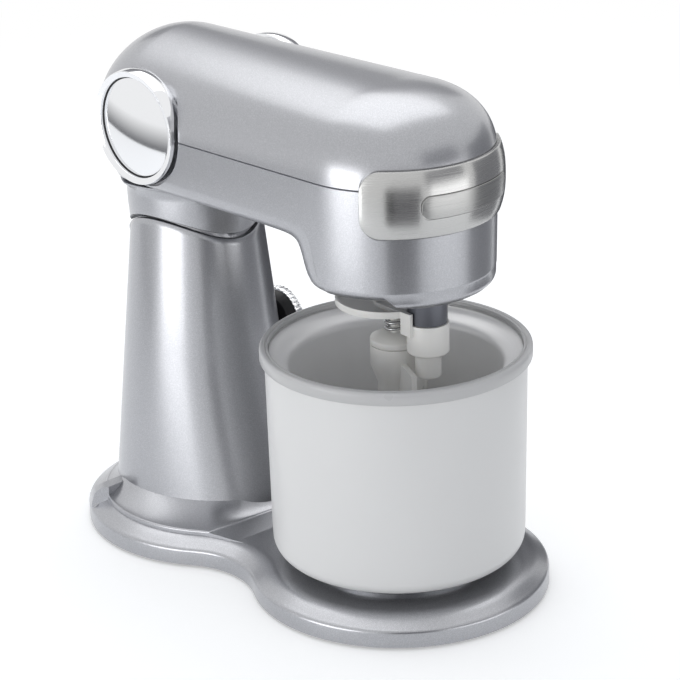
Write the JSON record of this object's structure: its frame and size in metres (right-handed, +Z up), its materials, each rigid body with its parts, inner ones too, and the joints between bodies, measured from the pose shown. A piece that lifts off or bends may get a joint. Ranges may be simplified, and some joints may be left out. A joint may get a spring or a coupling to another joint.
{
  "type": "ice cream maker",
  "caption": "Tilt-head stand mixer with a freezer bowl, a planetary drive adapter and a sprung dasher that churns ice cream.",
  "frame": {"origin": "on the table plane, under the axis of the freezer bowl and the planetary drive", "axes": "+Z up along the bowl axis, -Y towards the nose and front, +X towards the side with the speed dial"},
  "size_m": [0.2, 0.3724, 0.3515],
  "materials": {
    "painted_metal": "fine metallic silver lacquer",
    "painted_metal_dark": "same lacquer on hidden plates",
    "brushed_band": "brushed across, satin",
    "chrome_trim": "polished plating",
    "steel_shaft": "ground steel",
    "collar_steel": "dark bright nickel",
    "feet_rubber": "matte black",
    "gland_rubber": "matte black",
    "dial_black": "fine matte",
    "inner_plastic": "moulded, matte",
    "board_green": "coated circuit board",
    "belt_rubber": "matte black",
    "gear_plastic": "greased acetal",
    "motor_steel": "plain painted steel",
    "white_plastic": "smooth white, slightly milky",
    "dasher_plastic": "milky white, satin",
    "bowl_white": "satin white",
    "rim_grey": "satin light grey",
    "liner_aluminium": "satin, frosted",
    "coolant_gel": "frozen gel",
    "spring_steel": "drawn wire"
  },
  "bodies": {
    "stand": {"base_casting": "painted_metal", "base_cover": "painted_metal_dark", "rubber_feet": "feet_rubber", "bowl_seat_ring": "steel_shaft", "cord_gland": "gland_rubber", "column_shell": "painted_metal", "column_plate": "inner_plastic", "hinge_pin": "steel_shaft", "control_board": "board_green"},
    "dial": {"speed_dial": "dial_black", "dial_ring": "chrome_trim"},
    "latch": {"latch_lever": "dial_black"},
    "head": {"head_lower_shell": "painted_metal", "head_upper_shell": "painted_metal", "left_bezel": "chrome_trim", "left_cap": "chrome_trim", "right_bezel": "chrome_trim", "right_cap": "chrome_trim", "outlet_socket": "painted_metal_dark", "arch_screws": "steel_shaft", "motor_can": "motor_steel", "motor_bracket": "inner_plastic", "drive_belt": "belt_rubber", "gear_case": "painted_metal_dark", "ring_gear": "gear_plastic", "upper_bearing": "steel_shaft"},
    "cover": {"nose_band": "brushed_band", "badge_panel": "brushed_band"},
    "motor": {"rotor": "steel_shaft", "cooling_fan": "inner_plastic"},
    "carrier": {"drive_shaft": "steel_shaft", "drive_pulley": "inner_plastic", "planet_carrier": "painted_metal_dark", "drive_adapter": "white_plastic"},
    "beater": {"beater_shaft": "collar_steel", "planet_gear": "gear_plastic"},
    "churn": {"dasher": "dasher_plastic", "dasher_cap": "dasher_plastic", "pressure_spring": "spring_steel"},
    "bowl": {"bowl_shell": "bowl_white", "bowl_rim": "rim_grey", "bowl_liner": "liner_aluminium", "coolant": "coolant_gel", "bowl_foot": "bowl_white"}
  },
  "joints": [
    {"name": "head_tilt", "type": "hinge", "parent": "stand", "child": "head", "pos_m": [0, 0.22473, 0.206], "axis": [-1, 0, 0], "range_deg": [0, 35]},
    {"name": "dial_turn", "type": "hinge", "parent": "stand", "child": "dial", "pos_m": [0.05724, 0.18, 0.125], "axis": [1, 0, 0], "range_deg": [0, 270]},
    {"name": "latch_press", "type": "hinge", "parent": "stand", "child": "latch", "pos_m": [0.05047, 0.196, 0.186], "axis": [-1, 0, 0], "range_deg": [0, 30], "stiffness_Nm_per_rad": 0.4},
    {"name": "cover_slide", "type": "slide", "parent": "head", "child": "cover", "axis": [0, -1, 0], "range_m": [0, 0.025]},
    {"name": "orbit", "type": "hinge", "parent": "head", "child": "carrier", "pos_m": [0, 0, 0.25], "axis": [0, 0, 1], "continuous": true},
    {"name": "motor_spin", "type": "hinge", "parent": "head", "child": "motor", "pos_m": [0, 0.182, 0.28], "axis": [0, 0, 1], "continuous": true},
    {"name": "beater_spin", "type": "hinge", "parent": "carrier", "child": "beater", "pos_m": [-0.00216, -0.03092, 0.25], "axis": [0, 0, 1], "continuous": true},
    {"name": "churn_spin", "type": "hinge", "parent": "stand", "child": "churn", "pos_m": [0, 0, 0.1], "axis": [0, 0, 1], "continuous": true},
    {"name": "bowl_lock", "type": "hinge", "parent": "stand", "child": "bowl", "pos_m": [0, 0, 0.03], "axis": [0, 0, 1], "range_deg": [0, 32]}
  ],
  "couplings": [
    {"joint": "motor_spin", "follows": "orbit", "ratio": 4.6667},
    {"joint": "beater_spin", "follows": "orbit", "ratio": -3},
    {"joint": "churn_spin", "follows": "orbit", "ratio": 1}
  ]
}
